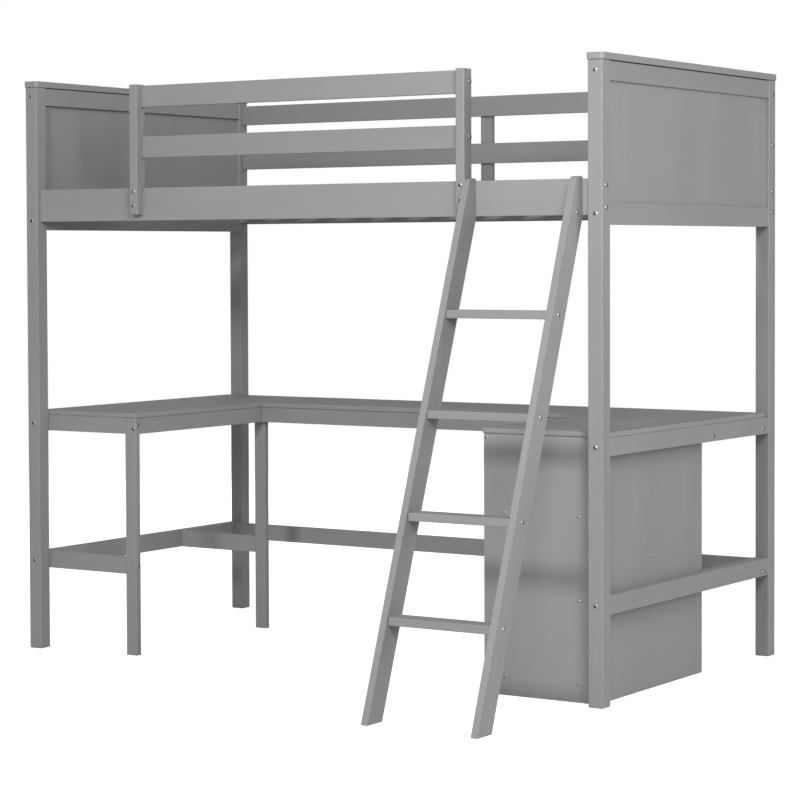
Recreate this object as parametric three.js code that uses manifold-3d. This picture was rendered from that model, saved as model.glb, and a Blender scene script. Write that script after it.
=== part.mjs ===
// Loft bed over a U-shaped desk, with a leaning ladder and a three-drawer pedestal.
//
// Units are millimetres and +Z is up. The model is laid out in bench coordinates: x = 0 is the outer
// face of the left posts, y = 0 the outer face of the front posts and z = 0 the floor. -Y is the ladder
// side, and the drawers pull out towards -X. One group at the end moves the bench coordinates so that
// the origin is the middle of the whole footprint, on the floor.

import * as THREE from 'three';
import { mergeVertices } from 'three/addons/utils/BufferGeometryUtils.js';
import Module from 'manifold-3d';

const wasm = await Module();
wasm.setup();

// ---- Driving dimensions -------------------------------------------------------------------------

// Bed frame
const BED_LENGTH = 2000;          // outer face to outer face of the posts, along X
const BED_WIDTH = 1076;           // outer face to outer face of the posts, along Y
const POST = 44;                  // square post
const POST_TOP = 1718;
const CAP_THICK = 18;
const CAP_OVERHANG = 4;
const CAP_CORNER_RADIUS = 10;

// Head and foot ends: rails nearly as thick as the post, with a thinner panel between them
const END_RAIL_INSET = 2;
const END_TOP_RAIL_HEIGHT = 54;   // from the rail's lower edge to the post's top
const CAP_SHADOW_GAP = 2.5;       // between the top rail and the cap, which rests on the posts
const END_BOTTOM_RAIL = [1283, 1340];
const END_PANEL_SPAN = [10, 26];   // from the posts' outer faces to the panel's two faces

// Long side rails, each with a ledge glued inside for the slats
const RAIL_THICK = 20;
const SIDE_RAIL = [1308, 1405];
const LEDGE_SIZE = 20;
const LEDGE_RISE = 4;             // from the rail's lower edge to the ledge's

// Slats, stapled to two webbing straps
const SLAT_COUNT = 13;
const SLAT_WIDTH = 70;
const SLAT_PITCH = 143;
const SLAT_THICK = 12;
const SLAT_END_CLEARANCE = 2;
const STRAP_WIDTH = 25;
const STRAP_THICK = 2;
const STRAP_INSET = 120;          // from a slat's end to the strap's middle
const STRAP_BITE = 0.5;           // how far the strap is pressed into the slat

// Guard rails
const GUARD_BOARD_THICK = 16;
const GUARD_BOARDS = [[1493, 1557], [1643, 1707]];
const GUARD_NAMES = ['mid', 'top'];
const GUARD_POST_WIDTH = 28;
const GUARD_POST_FRONT = -17;     // y of the front guard posts' outer face
const GUARD_POST_DEPTH = 40;
const GUARD_POST_SPAN = [1325, 1710];
const GUARD_POST_LEFT_X = 419;
const GUARD_BOARD_FRONT_Y = 6;
const BACK_GUARD_POST_X = 980;
const BACK_GUARD_POST_WIDTH = 41;
const BACK_GUARD_POST_THICK = 18;

// Ladder
const LADDER_RAIL_THICK = 20;
const LADDER_LEFT_X = 1584;       // outer face of the left ladder rail, against the guard post
const LADDER_CLEAR_WIDTH = 310;   // between the ladder rails
const LADDER_FOOT_Y = -530;       // front of the feet
const LADDER_DEPTH = 70.5;        // rail depth, measured level
const LADDER_LEAN = 0.362;        // level run for each unit of rise
const LADDER_TOP = 1411;
const LADDER_TOP_ROUND = 12;
const TREAD_COUNT = 4;
const FIRST_TREAD = 268;          // top of the lowest tread
const TREAD_RISE = 263;
const TREAD_THICK = 22;
const TREAD_DEPTH = 60;
const TREAD_SETBACK = 2;

// Desk
const DESK_TOP = 731;
const DESK_BOARD_THICK = 14;
const DESK_FRONT_Y = 44;          // front edge of both wings
const DESK_BACK_Y = 1014;
const DESK_END_INSET = 4;         // from the posts' outer faces to the boards' ends
const WING_LEFT_EDGE_X = 387;     // inner edge of the left wing
const WING_RIGHT_EDGE_X = 1602;   // inner edge of the right wing
const MIDDLE_FRONT_Y = 682;       // front edge of the board between the wings
const APRON_HEIGHT = 49;
const APRON_THICK = 16;
const APRON_SETBACK = 3;          // from a wing's edge to the apron under it
const MIDDLE_APRON_SETBACK = 4;   // the same under the middle board
const BACK_RAIL_Y = 990;          // front face of the back apron and the back lower rail
const LOWER_RAIL = [245, 297];
const LEG_WIDTH = 41;
const LEG_THICK = 20;

// Drawer pedestal
const CABINET_X = [1604, 1958];
const CABINET_Y = [49, 672];
const CABINET_PANEL = 15;
const CABINET_FRONT_THICK = 16;   // drawer fronts and the top rail over them
const CABINET_TOP_RAIL_HEIGHT = 27;
const CABINET_BOTTOM = [43, 58];
const DIVIDER_CENTRES = [273, 499];
const DIVIDER_THICK = 12;
const SHELF_SETBACK = 2;          // from a drawer front's back to the dividers and the bottom
const DRAWER_GAP = 3;
const DRAWER_WALL = 12;
const DRAWER_FLOOR = 6;
const DRAWER_SIDE_CLEARANCE = 4;
const DRAWER_TOP_CLEARANCE = 14;
const DRAWER_LIFT = 1;            // running clearance over the board below
const DRAWER_BACK_X = 1925;
const KNOB_RADIUS = 15;
const KNOB_LENGTH = 24;
const KNOB_STEM_RADIUS = 7;
const KNOB_WAIST_RADIUS = 5;

// Heights along the knob, from its foot
const KNOB_WAIST = 7.2;
const KNOB_STEM_END = 12;
const KNOB_FLARE = 13.2;
const KNOB_RIM = 18;
const KNOB_CROWN = 23.3;

// Facets
const CORNER_SEGMENTS = 4;
const KNOB_PROFILE_SEGMENTS = 4;
const KNOB_SEGMENTS = 20;

// ---- Finishes -----------------------------------------------------------------------------------

const PAINT = { color: 0x9a9a9a, roughness: 0.5, metalness: 0 };
const BARE_WOOD = { color: 0xcdb48c, roughness: 0.7, metalness: 0 };
const NICKEL = { color: 0xb9b9b6, roughness: 0.3, metalness: 1 };

// ---- Making pieces ------------------------------------------------------------------------------

const bench = new THREE.Group();

function addPiece(name, geometry, finish = PAINT) {
  const piece = new THREE.Mesh(geometry, new THREE.MeshStandardMaterial(finish));
  piece.name = name;
  bench.add(piece);
  return piece;
}

// A straight board between two limits on each axis.
function addBoard(name, [x0, x1], [y0, y1], [z0, z1], finish = PAINT) {
  const piece = addPiece(name, new THREE.BoxGeometry(x1 - x0, y1 - y0, z1 - z0), finish);
  piece.position.set((x0 + x1) / 2, (y0 + y1) / 2, (z0 + z1) / 2);
  return piece;
}

// Turns an extrusion so that its outline lies in the YZ plane and it runs along +X.
const ALONG_X = new THREE.Matrix4().makeBasis(
  new THREE.Vector3(0, 1, 0),
  new THREE.Vector3(0, 0, 1),
  new THREE.Vector3(1, 0, 0),
);

function extrude(outline, length) {
  const settings = { depth: length, bevelEnabled: false, curveSegments: CORNER_SEGMENTS };
  return new THREE.ExtrudeGeometry(outline, settings);
}

function extrudeAlongX(outline, length) {
  return extrude(outline, length).applyMatrix4(ALONG_X);
}

function polygon(points) {
  return new THREE.Shape(points.map(([a, b]) => new THREE.Vector2(a, b)));
}

function toSolid(geometry) {
  const bare = geometry.clone();
  bare.deleteAttribute('normal');
  bare.deleteAttribute('uv');
  const merged = mergeVertices(bare);
  const vertProperties = new Float32Array(merged.attributes.position.array);
  const triVerts = new Uint32Array(merged.index.array);
  return new wasm.Manifold(new wasm.Mesh({ numProp: 3, vertProperties, triVerts }));
}

function toGeometry(solid) {
  const mesh = solid.getMesh();
  const geometry = new THREE.BufferGeometry();
  geometry.setAttribute('position', new THREE.BufferAttribute(mesh.vertProperties, 3));
  geometry.setIndex(new THREE.BufferAttribute(mesh.triVerts, 1));
  return geometry;
}

function boxBetween([x0, x1], [y0, y1], [z0, z1]) {
  const geometry = new THREE.BoxGeometry(x1 - x0, y1 - y0, z1 - z0);
  return geometry.translate((x0 + x1) / 2, (y0 + y1) / 2, (z0 + z1) / 2);
}

// ---- Places worked out from the dimensions ------------------------------------------------------

const POST_X = { left: 0, right: BED_LENGTH - POST };
const POST_Y = { front: 0, back: BED_WIDTH - POST };
const BETWEEN_POSTS_X = [POST, BED_LENGTH - POST];
const BETWEEN_POSTS_Y = [POST, BED_WIDTH - POST];
const RAIL_SETBACK = (POST - RAIL_THICK) / 2;
const APRON_SPAN = [DESK_TOP - DESK_BOARD_THICK - APRON_HEIGHT, DESK_TOP - DESK_BOARD_THICK];

// A span measured in from the left posts' outer face, or its mirror at the right posts.
function atEnd(end, from, to) {
  return end === 'left' ? [from, to] : [BED_LENGTH - to, BED_LENGTH - from];
}

const END_RAIL_X = {
  left: atEnd('left', END_RAIL_INSET, POST - END_RAIL_INSET),
  right: atEnd('right', END_RAIL_INSET, POST - END_RAIL_INSET),
};
const BETWEEN_END_RAILS_X = [END_RAIL_X.left[1], END_RAIL_X.right[0]];

// ---- Posts, caps and the panelled ends ----------------------------------------------------------

function capOutline() {
  const width = POST + 2 * CAP_OVERHANG;
  const depth = BED_WIDTH + 2 * CAP_OVERHANG;
  const r = CAP_CORNER_RADIUS;
  const outline = new THREE.Shape();
  outline.moveTo(r, 0);
  outline.lineTo(width - r, 0);
  outline.absarc(width - r, r, r, -Math.PI / 2, 0);
  outline.lineTo(width, depth - r);
  outline.absarc(width - r, depth - r, r, 0, Math.PI / 2);
  outline.lineTo(r, depth);
  outline.absarc(r, depth - r, r, Math.PI / 2, Math.PI);
  outline.lineTo(0, r);
  outline.absarc(r, r, r, Math.PI, 1.5 * Math.PI);
  return outline;
}

function addBedEnd(end) {
  for (const side of ['front', 'back']) {
    const x = POST_X[end];
    const y = POST_Y[side];
    addBoard(`post_${side}_${end}`, [x, x + POST], [y, y + POST], [0, POST_TOP]);
  }
  const cap = addPiece(`cap_${end}`, extrude(capOutline(), CAP_THICK));
  cap.position.set(POST_X[end] - CAP_OVERHANG, -CAP_OVERHANG, POST_TOP);

  const topRail = [POST_TOP - END_TOP_RAIL_HEIGHT, POST_TOP - CAP_SHADOW_GAP];
  const panelX = atEnd(end, ...END_PANEL_SPAN);
  const panelZ = [END_BOTTOM_RAIL[1], topRail[0]];
  addBoard(`end_top_rail_${end}`, END_RAIL_X[end], BETWEEN_POSTS_Y, topRail);
  addBoard(`end_panel_${end}`, panelX, BETWEEN_POSTS_Y, panelZ);
  addBoard(`end_bottom_rail_${end}`, END_RAIL_X[end], BETWEEN_POSTS_Y, END_BOTTOM_RAIL);
}

addBedEnd('left');
addBedEnd('right');

// ---- Side rails and slats -----------------------------------------------------------------------

// The rail's section seen from its end: a board with a ledge on its inner side, which is +Y on the
// front rail and -Y on the back one.
function sideRailOutline(outerY, inward) {
  const innerY = outerY + inward * RAIL_THICK;
  const ledgeY = innerY + inward * LEDGE_SIZE;
  const ledgeZ = SIDE_RAIL[0] + LEDGE_RISE;
  const points = [
    [outerY, SIDE_RAIL[0]],
    [innerY, SIDE_RAIL[0]],
    [innerY, ledgeZ],
    [ledgeY, ledgeZ],
    [ledgeY, ledgeZ + LEDGE_SIZE],
    [innerY, ledgeZ + LEDGE_SIZE],
    [innerY, SIDE_RAIL[1]],
    [outerY, SIDE_RAIL[1]],
  ];
  return polygon(inward > 0 ? points : points.reverse());
}

const RAIL_LENGTH = BETWEEN_POSTS_X[1] - BETWEEN_POSTS_X[0];
const FRONT_RAIL_Y = RAIL_SETBACK;
const BACK_RAIL_OUTER_Y = BED_WIDTH - RAIL_SETBACK;

for (const [side, outerY, inward] of [['front', FRONT_RAIL_Y, 1], ['back', BACK_RAIL_OUTER_Y, -1]]) {
  const rail = addPiece(`side_rail_${side}`, extrudeAlongX(sideRailOutline(outerY, inward), RAIL_LENGTH));
  rail.position.x = BETWEEN_POSTS_X[0];
}

function addSlatRoll() {
  const innerY = [FRONT_RAIL_Y + RAIL_THICK, BACK_RAIL_OUTER_Y - RAIL_THICK];
  const slatY = [innerY[0] + SLAT_END_CLEARANCE, innerY[1] - SLAT_END_CLEARANCE];
  const slatZ = SIDE_RAIL[0] + LEDGE_RISE + LEDGE_SIZE;
  const slatTop = slatZ + SLAT_THICK;
  const fieldLength = (SLAT_COUNT - 1) * SLAT_PITCH + SLAT_WIDTH;
  const startX = (BED_LENGTH - fieldLength) / 2;

  let roll = null;
  for (let i = 0; i < SLAT_COUNT; i += 1) {
    const x = startX + i * SLAT_PITCH;
    const slat = toSolid(boxBetween([x, x + SLAT_WIDTH], slatY, [slatZ, slatTop]));
    roll = roll ? roll.add(slat) : slat;
  }
  for (const middle of [slatY[0] + STRAP_INSET, slatY[1] - STRAP_INSET]) {
    const strapY = [middle - STRAP_WIDTH / 2, middle + STRAP_WIDTH / 2];
    const strapZ = [slatTop - STRAP_BITE, slatTop - STRAP_BITE + STRAP_THICK];
    roll = roll.add(toSolid(boxBetween([startX, startX + fieldLength], strapY, strapZ)));
  }
  addPiece('slat_roll', toGeometry(roll), BARE_WOOD);
}

addSlatRoll();

// ---- Guard rails --------------------------------------------------------------------------------

// A front guard post is rebated below, so that it laps the side rail's outer face and sits on its edge.
function guardPostOutline() {
  const backY = GUARD_POST_FRONT + GUARD_POST_DEPTH;
  return polygon([
    [GUARD_POST_FRONT, GUARD_POST_SPAN[0]],
    [FRONT_RAIL_Y, GUARD_POST_SPAN[0]],
    [FRONT_RAIL_Y, SIDE_RAIL[1]],
    [backY, SIDE_RAIL[1]],
    [backY, GUARD_POST_SPAN[1]],
    [GUARD_POST_FRONT, GUARD_POST_SPAN[1]],
  ]);
}

const GUARD_POST_RIGHT_X = LADDER_LEFT_X - GUARD_POST_WIDTH;

for (const [end, x] of [['left', GUARD_POST_LEFT_X], ['right', GUARD_POST_RIGHT_X]]) {
  const post = addPiece(`guard_post_${end}`, extrudeAlongX(guardPostOutline(), GUARD_POST_WIDTH));
  post.position.x = x;
}

const FRONT_BOARD_X = [GUARD_POST_LEFT_X + GUARD_POST_WIDTH, GUARD_POST_RIGHT_X];
const FRONT_BOARD_Y = [GUARD_BOARD_FRONT_Y, GUARD_BOARD_FRONT_Y + GUARD_BOARD_THICK];
const BACK_BOARD_Y = [BACK_RAIL_OUTER_Y - GUARD_BOARD_THICK, BACK_RAIL_OUTER_Y];

GUARD_BOARDS.forEach((boardZ, i) => {
  addBoard(`guard_board_front_${GUARD_NAMES[i]}`, FRONT_BOARD_X, FRONT_BOARD_Y, boardZ);
  addBoard(`guard_board_back_${GUARD_NAMES[i]}`, BETWEEN_POSTS_X, BACK_BOARD_Y, boardZ);
});

addBoard(
  'guard_post_back',
  [BACK_GUARD_POST_X, BACK_GUARD_POST_X + BACK_GUARD_POST_WIDTH],
  [BACK_RAIL_OUTER_Y, BACK_RAIL_OUTER_Y + BACK_GUARD_POST_THICK],
  [GUARD_POST_SPAN[0], GUARD_BOARDS[1][1]],
);

// ---- Ladder -------------------------------------------------------------------------------------

function ladderFrontY(z) {
  return LADDER_FOOT_Y + LADDER_LEAN * z;
}

// Side view of a ladder rail: feet cut level, the upper back edge cut upright to lie on the side rail.
function ladderRailOutline() {
  const contactZ = (FRONT_RAIL_Y - LADDER_FOOT_Y - LADDER_DEPTH) / LADDER_LEAN;
  const r = LADDER_TOP_ROUND;
  const outline = new THREE.Shape();
  outline.moveTo(LADDER_FOOT_Y, 0);
  outline.lineTo(LADDER_FOOT_Y + LADDER_DEPTH, 0);
  outline.lineTo(FRONT_RAIL_Y, contactZ);
  outline.lineTo(FRONT_RAIL_Y, LADDER_TOP - r / 2);
  outline.quadraticCurveTo(FRONT_RAIL_Y, LADDER_TOP, FRONT_RAIL_Y - r / 2, LADDER_TOP);
  outline.lineTo(ladderFrontY(LADDER_TOP) + r, LADDER_TOP);
  const topFrontY = ladderFrontY(LADDER_TOP);
  outline.quadraticCurveTo(topFrontY, LADDER_TOP, ladderFrontY(LADDER_TOP - r), LADDER_TOP - r);
  outline.closePath();
  return outline;
}

const TREAD_X = [LADDER_LEFT_X + LADDER_RAIL_THICK, LADDER_LEFT_X + LADDER_RAIL_THICK + LADDER_CLEAR_WIDTH];

for (const [end, x] of [['left', LADDER_LEFT_X], ['right', TREAD_X[1]]]) {
  const rail = addPiece(`ladder_rail_${end}`, extrudeAlongX(ladderRailOutline(), LADDER_RAIL_THICK));
  rail.position.x = x;
}

for (let i = 0; i < TREAD_COUNT; i += 1) {
  const top = FIRST_TREAD + i * TREAD_RISE;
  const frontY = ladderFrontY(top) + TREAD_SETBACK;
  addBoard(`ladder_tread_${i + 1}`, TREAD_X, [frontY, frontY + TREAD_DEPTH], [top - TREAD_THICK, top]);
}

// ---- Desk ---------------------------------------------------------------------------------------

const BOARD_Z = [DESK_TOP - DESK_BOARD_THICK, DESK_TOP];
const WING_Y = [DESK_FRONT_Y, DESK_BACK_Y];

addBoard('desk_board_left', [DESK_END_INSET, WING_LEFT_EDGE_X], WING_Y, BOARD_Z);
addBoard('desk_board_middle', [WING_LEFT_EDGE_X, WING_RIGHT_EDGE_X], [MIDDLE_FRONT_Y, DESK_BACK_Y], BOARD_Z);
addBoard('desk_board_right', [WING_RIGHT_EDGE_X, BED_LENGTH - DESK_END_INSET], WING_Y, BOARD_Z);

// The two legs stand in line under the left wing's inner edge, one at the front and one in the corner.
const LEG_X = [WING_LEFT_EDGE_X - APRON_SETBACK - LEG_WIDTH, WING_LEFT_EDGE_X - APRON_SETBACK];
const FRONT_LEG_Y = [DESK_FRONT_Y + APRON_SETBACK, DESK_FRONT_Y + APRON_SETBACK + LEG_THICK];
const MIDDLE_APRON_FRONT = MIDDLE_FRONT_Y + MIDDLE_APRON_SETBACK;
const MIDDLE_APRON_Y = [MIDDLE_APRON_FRONT, MIDDLE_APRON_FRONT + APRON_THICK];
const BACK_LEG_Y = [MIDDLE_APRON_Y[1], MIDDLE_APRON_Y[1] + LEG_THICK];
const LEG_Z = [0, APRON_SPAN[1]];

addBoard('desk_leg_front', LEG_X, FRONT_LEG_Y, LEG_Z);
addBoard('desk_leg_back', LEG_X, BACK_LEG_Y, LEG_Z);

const STRETCHER_X = [BETWEEN_END_RAILS_X[0], LEG_X[0]];
const INNER_APRON_X = [LEG_X[1] - APRON_THICK, LEG_X[1]];
const BACK_RAIL_SPAN_Y = [BACK_RAIL_Y, BACK_RAIL_Y + RAIL_THICK];

addBoard('apron_left_front', STRETCHER_X, [FRONT_LEG_Y[0], FRONT_LEG_Y[0] + APRON_THICK], APRON_SPAN);
addBoard('apron_left_inner', INNER_APRON_X, [FRONT_LEG_Y[1], MIDDLE_APRON_Y[0]], APRON_SPAN);
addBoard('apron_middle', BETWEEN_END_RAILS_X, MIDDLE_APRON_Y, APRON_SPAN);
addBoard('apron_back', BETWEEN_END_RAILS_X, BACK_RAIL_SPAN_Y, APRON_SPAN);
addBoard('stretcher_front', STRETCHER_X, FRONT_LEG_Y, LOWER_RAIL);
addBoard('stretcher_back', STRETCHER_X, BACK_LEG_Y, LOWER_RAIL);
addBoard('lower_rail_back', BETWEEN_END_RAILS_X, BACK_RAIL_SPAN_Y, LOWER_RAIL);

for (const end of ['left', 'right']) {
  addBoard(`apron_end_${end}`, END_RAIL_X[end], BETWEEN_POSTS_Y, APRON_SPAN);
  addBoard(`lower_rail_${end}`, END_RAIL_X[end], BETWEEN_POSTS_Y, LOWER_RAIL);
}

// ---- Drawer pedestal ----------------------------------------------------------------------------

const INSIDE_Y = [CABINET_Y[0] + CABINET_PANEL, CABINET_Y[1] - CABINET_PANEL];
const INSIDE_X = [CABINET_X[0] + CABINET_FRONT_THICK, CABINET_X[1] - CABINET_PANEL];
const SHELF_X = [INSIDE_X[0] + SHELF_SETBACK, INSIDE_X[1]];
const PANEL_Z = [0, DESK_TOP - DESK_BOARD_THICK];
const TOP_RAIL_Z = [PANEL_Z[1] - CABINET_TOP_RAIL_HEIGHT, PANEL_Z[1]];

addBoard('cabinet_panel_front', CABINET_X, [CABINET_Y[0], INSIDE_Y[0]], PANEL_Z);
addBoard('cabinet_panel_rear', CABINET_X, [INSIDE_Y[1], CABINET_Y[1]], PANEL_Z);
addBoard('cabinet_panel_right', [INSIDE_X[1], CABINET_X[1]], INSIDE_Y, PANEL_Z);
addBoard('cabinet_bottom', SHELF_X, INSIDE_Y, CABINET_BOTTOM);
addBoard('cabinet_top_rail', [CABINET_X[0], INSIDE_X[0]], INSIDE_Y, TOP_RAIL_Z);

DIVIDER_CENTRES.forEach((centre, i) => {
  const dividerZ = [centre - DIVIDER_THICK / 2, centre + DIVIDER_THICK / 2];
  addBoard(`cabinet_divider_${i + 1}`, SHELF_X, INSIDE_Y, dividerZ);
});

// Shelf levels: the face that each drawer runs on, and the face above it.
const RUNNING_FACES = [CABINET_BOTTOM[1], ...DIVIDER_CENTRES.map((centre) => centre + DIVIDER_THICK / 2)];
const CEILINGS = [...DIVIDER_CENTRES.map((centre) => centre - DIVIDER_THICK / 2), TOP_RAIL_Z[0]];
const FRONT_JOINTS = [CABINET_BOTTOM[0], ...DIVIDER_CENTRES, TOP_RAIL_Z[0]];

// An open-topped box: the block less the space between its walls and over its floor.
function drawerBox(spanX, spanY, spanZ) {
  const block = toSolid(boxBetween(spanX, spanY, spanZ));
  const space = toSolid(boxBetween(
    [spanX[0] + DRAWER_WALL, spanX[1] - DRAWER_WALL],
    [spanY[0] + DRAWER_WALL, spanY[1] - DRAWER_WALL],
    [spanZ[0] + DRAWER_FLOOR, spanZ[1] + DRAWER_FLOOR],
  ));
  return toGeometry(block.subtract(space));
}

// A turned knob: its profile runs out along the lathe's axis, which is then laid along -X.
function knobGeometry() {
  const profile = new THREE.Path();
  profile.moveTo(0, 0);
  profile.lineTo(KNOB_STEM_RADIUS, 0);
  profile.quadraticCurveTo(KNOB_WAIST_RADIUS, KNOB_WAIST, KNOB_STEM_RADIUS, KNOB_STEM_END);
  profile.quadraticCurveTo(KNOB_RADIUS, KNOB_FLARE, KNOB_RADIUS, KNOB_RIM);
  profile.quadraticCurveTo(KNOB_RADIUS, KNOB_CROWN, 0, KNOB_LENGTH);
  const lathe = new THREE.LatheGeometry(profile.getPoints(KNOB_PROFILE_SEGMENTS), KNOB_SEGMENTS);
  const outAlongMinusX = new THREE.Matrix4().makeBasis(
    new THREE.Vector3(0, 1, 0),
    new THREE.Vector3(-1, 0, 0),
    new THREE.Vector3(0, 0, 1),
  );
  return lathe.applyMatrix4(outAlongMinusX);
}

function addDrawer(index) {
  const name = `drawer_${index + 1}`;
  const frontZ = [FRONT_JOINTS[index] + DRAWER_GAP / 2, FRONT_JOINTS[index + 1] - DRAWER_GAP / 2];
  const frontY = [INSIDE_Y[0] + DRAWER_GAP / 2, INSIDE_Y[1] - DRAWER_GAP / 2];
  addBoard(`${name}_front`, [CABINET_X[0], INSIDE_X[0]], frontY, frontZ);

  const boxY = [INSIDE_Y[0] + DRAWER_SIDE_CLEARANCE, INSIDE_Y[1] - DRAWER_SIDE_CLEARANCE];
  const boxZ = [RUNNING_FACES[index] + DRAWER_LIFT, CEILINGS[index] - DRAWER_TOP_CLEARANCE];
  addPiece(`${name}_box`, drawerBox([INSIDE_X[0], DRAWER_BACK_X], boxY, boxZ), BARE_WOOD);

  const knob = addPiece(`${name}_knob`, knobGeometry(), NICKEL);
  knob.position.set(CABINET_X[0], (CABINET_Y[0] + CABINET_Y[1]) / 2, (frontZ[0] + frontZ[1]) / 2);
}

for (let i = 0; i < FRONT_JOINTS.length - 1; i += 1) {
  addDrawer(i);
}

// ---- The whole bed, with its origin under the middle of the footprint ---------------------------

const FOOTPRINT_BACK_Y = BACK_RAIL_OUTER_Y + BACK_GUARD_POST_THICK;
bench.position.set(-BED_LENGTH / 2, -(LADDER_FOOT_Y + FOOTPRINT_BACK_Y) / 2, 0);

const loftBed = new THREE.Group();
loftBed.add(bench);

export default loftBed;
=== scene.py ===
# %% [markdown]
# # A loft bed over a desk
#
# The bed stands on four square posts. A U-shaped desk and a pedestal of drawers fill the space below,
# and a ladder leans on the front rail. The solid model gives every board its size and place. What is
# left for this lesson is what makes the boards look made: eased edges, a satin paint that lets a
# little of the grain through, bare softwood inside, bolts, screws, webbing and turned knobs.
#
# The first cell loads the solid model. Its boards are in metres, and they already ride on the four
# bodies that move: the frame and the three drawers.

# %% Load the model
import math
import random

import bmesh
import bpy
from mathutils import Matrix, Vector


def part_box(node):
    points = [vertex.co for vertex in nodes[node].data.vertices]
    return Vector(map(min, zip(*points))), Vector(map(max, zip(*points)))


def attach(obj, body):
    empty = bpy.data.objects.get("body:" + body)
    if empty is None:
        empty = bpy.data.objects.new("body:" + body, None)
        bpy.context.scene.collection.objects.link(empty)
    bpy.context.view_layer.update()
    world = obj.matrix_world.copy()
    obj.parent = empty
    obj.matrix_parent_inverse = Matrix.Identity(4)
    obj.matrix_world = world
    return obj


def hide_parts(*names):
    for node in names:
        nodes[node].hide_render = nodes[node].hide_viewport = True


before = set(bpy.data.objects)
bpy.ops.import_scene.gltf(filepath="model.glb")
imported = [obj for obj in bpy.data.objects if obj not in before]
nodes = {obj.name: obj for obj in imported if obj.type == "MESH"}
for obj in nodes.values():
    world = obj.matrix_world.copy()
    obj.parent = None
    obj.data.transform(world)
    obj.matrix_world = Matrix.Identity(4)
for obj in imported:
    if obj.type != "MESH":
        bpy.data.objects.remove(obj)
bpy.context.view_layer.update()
MM = 0.001

# %% [markdown]
# ## The camera
#
# The camera looks along the bed from beyond its right front corner, a little lower than the mattress.
# A long lens from far away keeps the posts almost parallel, as furniture is usually shown. The lens
# is shifted a little, so that the upright posts stay upright while the feet still fit in the picture.

# %% Place the camera
CAMERA_PLACE = Vector((4.215, -6.178, 1.212))
CAMERA_TURN = math.radians(33.13)
CAMERA_TILT = math.radians(-1.98)
CAMERA_ROLL = math.radians(-0.21)
LENS = 114.5
LENS_SHIFT = -0.075
SENSOR_WIDTH = 36
SIGHT_END = 200

camera_data = bpy.data.cameras.new("camera")
camera_data.lens = LENS
camera_data.sensor_width = SENSOR_WIDTH
camera_data.shift_y = LENS_SHIFT
camera_data.clip_end = SIGHT_END
camera = bpy.data.objects.new("camera", camera_data)
bpy.context.scene.collection.objects.link(camera)
turn = Matrix.Rotation(CAMERA_TURN, 4, "Z")
tilt = Matrix.Rotation(math.pi / 2 + CAMERA_TILT, 4, "X")
roll = Matrix.Rotation(CAMERA_ROLL, 4, "Z")
camera.matrix_world = Matrix.Translation(CAMERA_PLACE) @ turn @ tilt @ roll
bpy.context.scene.camera = camera
print("camera", [round(v, 2) for v in CAMERA_PLACE], "lens", LENS, "mm")

# %% [markdown]
# ## Light
#
# Painted furniture shows its shape through soft shading. The main lamp stands in front of the ladder and
# is small enough for the treads to lay blurred shadows on the pedestal. A wide one over the right front
# corner lights the guard, weaker ones off the two ends open up the shadows, and one behind the left end
# keeps the back and the drawers from going dark when the bed is turned. That last one is hidden from
# reflections, or it would glare off the desk. The world fills the rest. The camera sees the world
# brighter than the boards do, so that the boards keep their contrast on white.

# %% Make the lights
def add_area_lamp(name, place, target, width, power):
    """A square lamp at a place, turned to face a target."""
    data = bpy.data.lights.new(name, "AREA")
    data.size = width
    data.energy = power
    lamp = bpy.data.objects.new(name, data)
    lamp.location = place
    lamp.rotation_euler = (Vector(target) - Vector(place)).to_track_quat("-Z", "Y").to_euler()
    bpy.context.scene.collection.objects.link(lamp)
    return lamp


add_area_lamp("front_lamp", place=(0.9, -5.0, 2.85), target=(0.6, 0.0, 0.9), width=0.6, power=106)
add_area_lamp("corner_lamp", place=(2.6, -2.6, 2.6), target=(1.0, 0.0, 1.2), width=1.4, power=70)
add_area_lamp("left_lamp", place=(-3.0, -4.2, 2.2), target=(0.0, 0.0, 0.9), width=1.8, power=12)
add_area_lamp("side_lamp", place=(5.2, 0.6, 2.2), target=(0.9, 0.3, 0.9), width=2.2, power=86)
back_lamp = add_area_lamp(
    "back_lamp", place=(-4.2, 4.0, 2.6), target=(0.0, 0.2, 0.9), width=3.0, power=115)
back_lamp.visible_glossy = False

WHITE = (1, 1, 1, 1)
FAR_WHITE = 1.0
WORLD_FILL = 0.22
world = bpy.data.worlds.new("studio")
world.use_nodes = True
bpy.context.scene.world = world
shades = world.node_tree
shades.nodes.clear()
seen = shades.nodes.new("ShaderNodeBackground")
seen.inputs["Strength"].default_value = FAR_WHITE
fill = shades.nodes.new("ShaderNodeBackground")
fill.inputs["Strength"].default_value = WORLD_FILL
for background in (seen, fill):
    background.inputs["Color"].default_value = WHITE
ray = shades.nodes.new("ShaderNodeLightPath")
choose = shades.nodes.new("ShaderNodeMixShader")
world_out = shades.nodes.new("ShaderNodeOutputWorld")
shades.links.new(ray.outputs["Is Camera Ray"], choose.inputs[0])
shades.links.new(fill.outputs[0], choose.inputs[1])
shades.links.new(seen.outputs[0], choose.inputs[2])
shades.links.new(choose.outputs[0], world_out.inputs["Surface"])
bpy.context.scene.view_settings.view_transform = "Standard"

# %% [markdown]
# ## Small helpers for node trees
#
# Materials are made of nodes joined by links. Three short helpers keep the later cells readable: one adds
# a node with its settings, one adds a Math node, and one makes a group with named sockets. A group is a
# piece of material that several materials share, each with its own values.

# %% Node helpers
def add_node(tree, kind, inputs=None, **settings):
    """A node with its settings, and with some of its sockets set to a value or joined to an output."""
    node = tree.nodes.new(kind)
    for key, value in settings.items():
        setattr(node, key, value)
    for key, value in (inputs or {}).items():
        if isinstance(value, bpy.types.NodeSocket):
            tree.links.new(value, node.inputs[key])
        else:
            node.inputs[key].default_value = value
    return node


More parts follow.
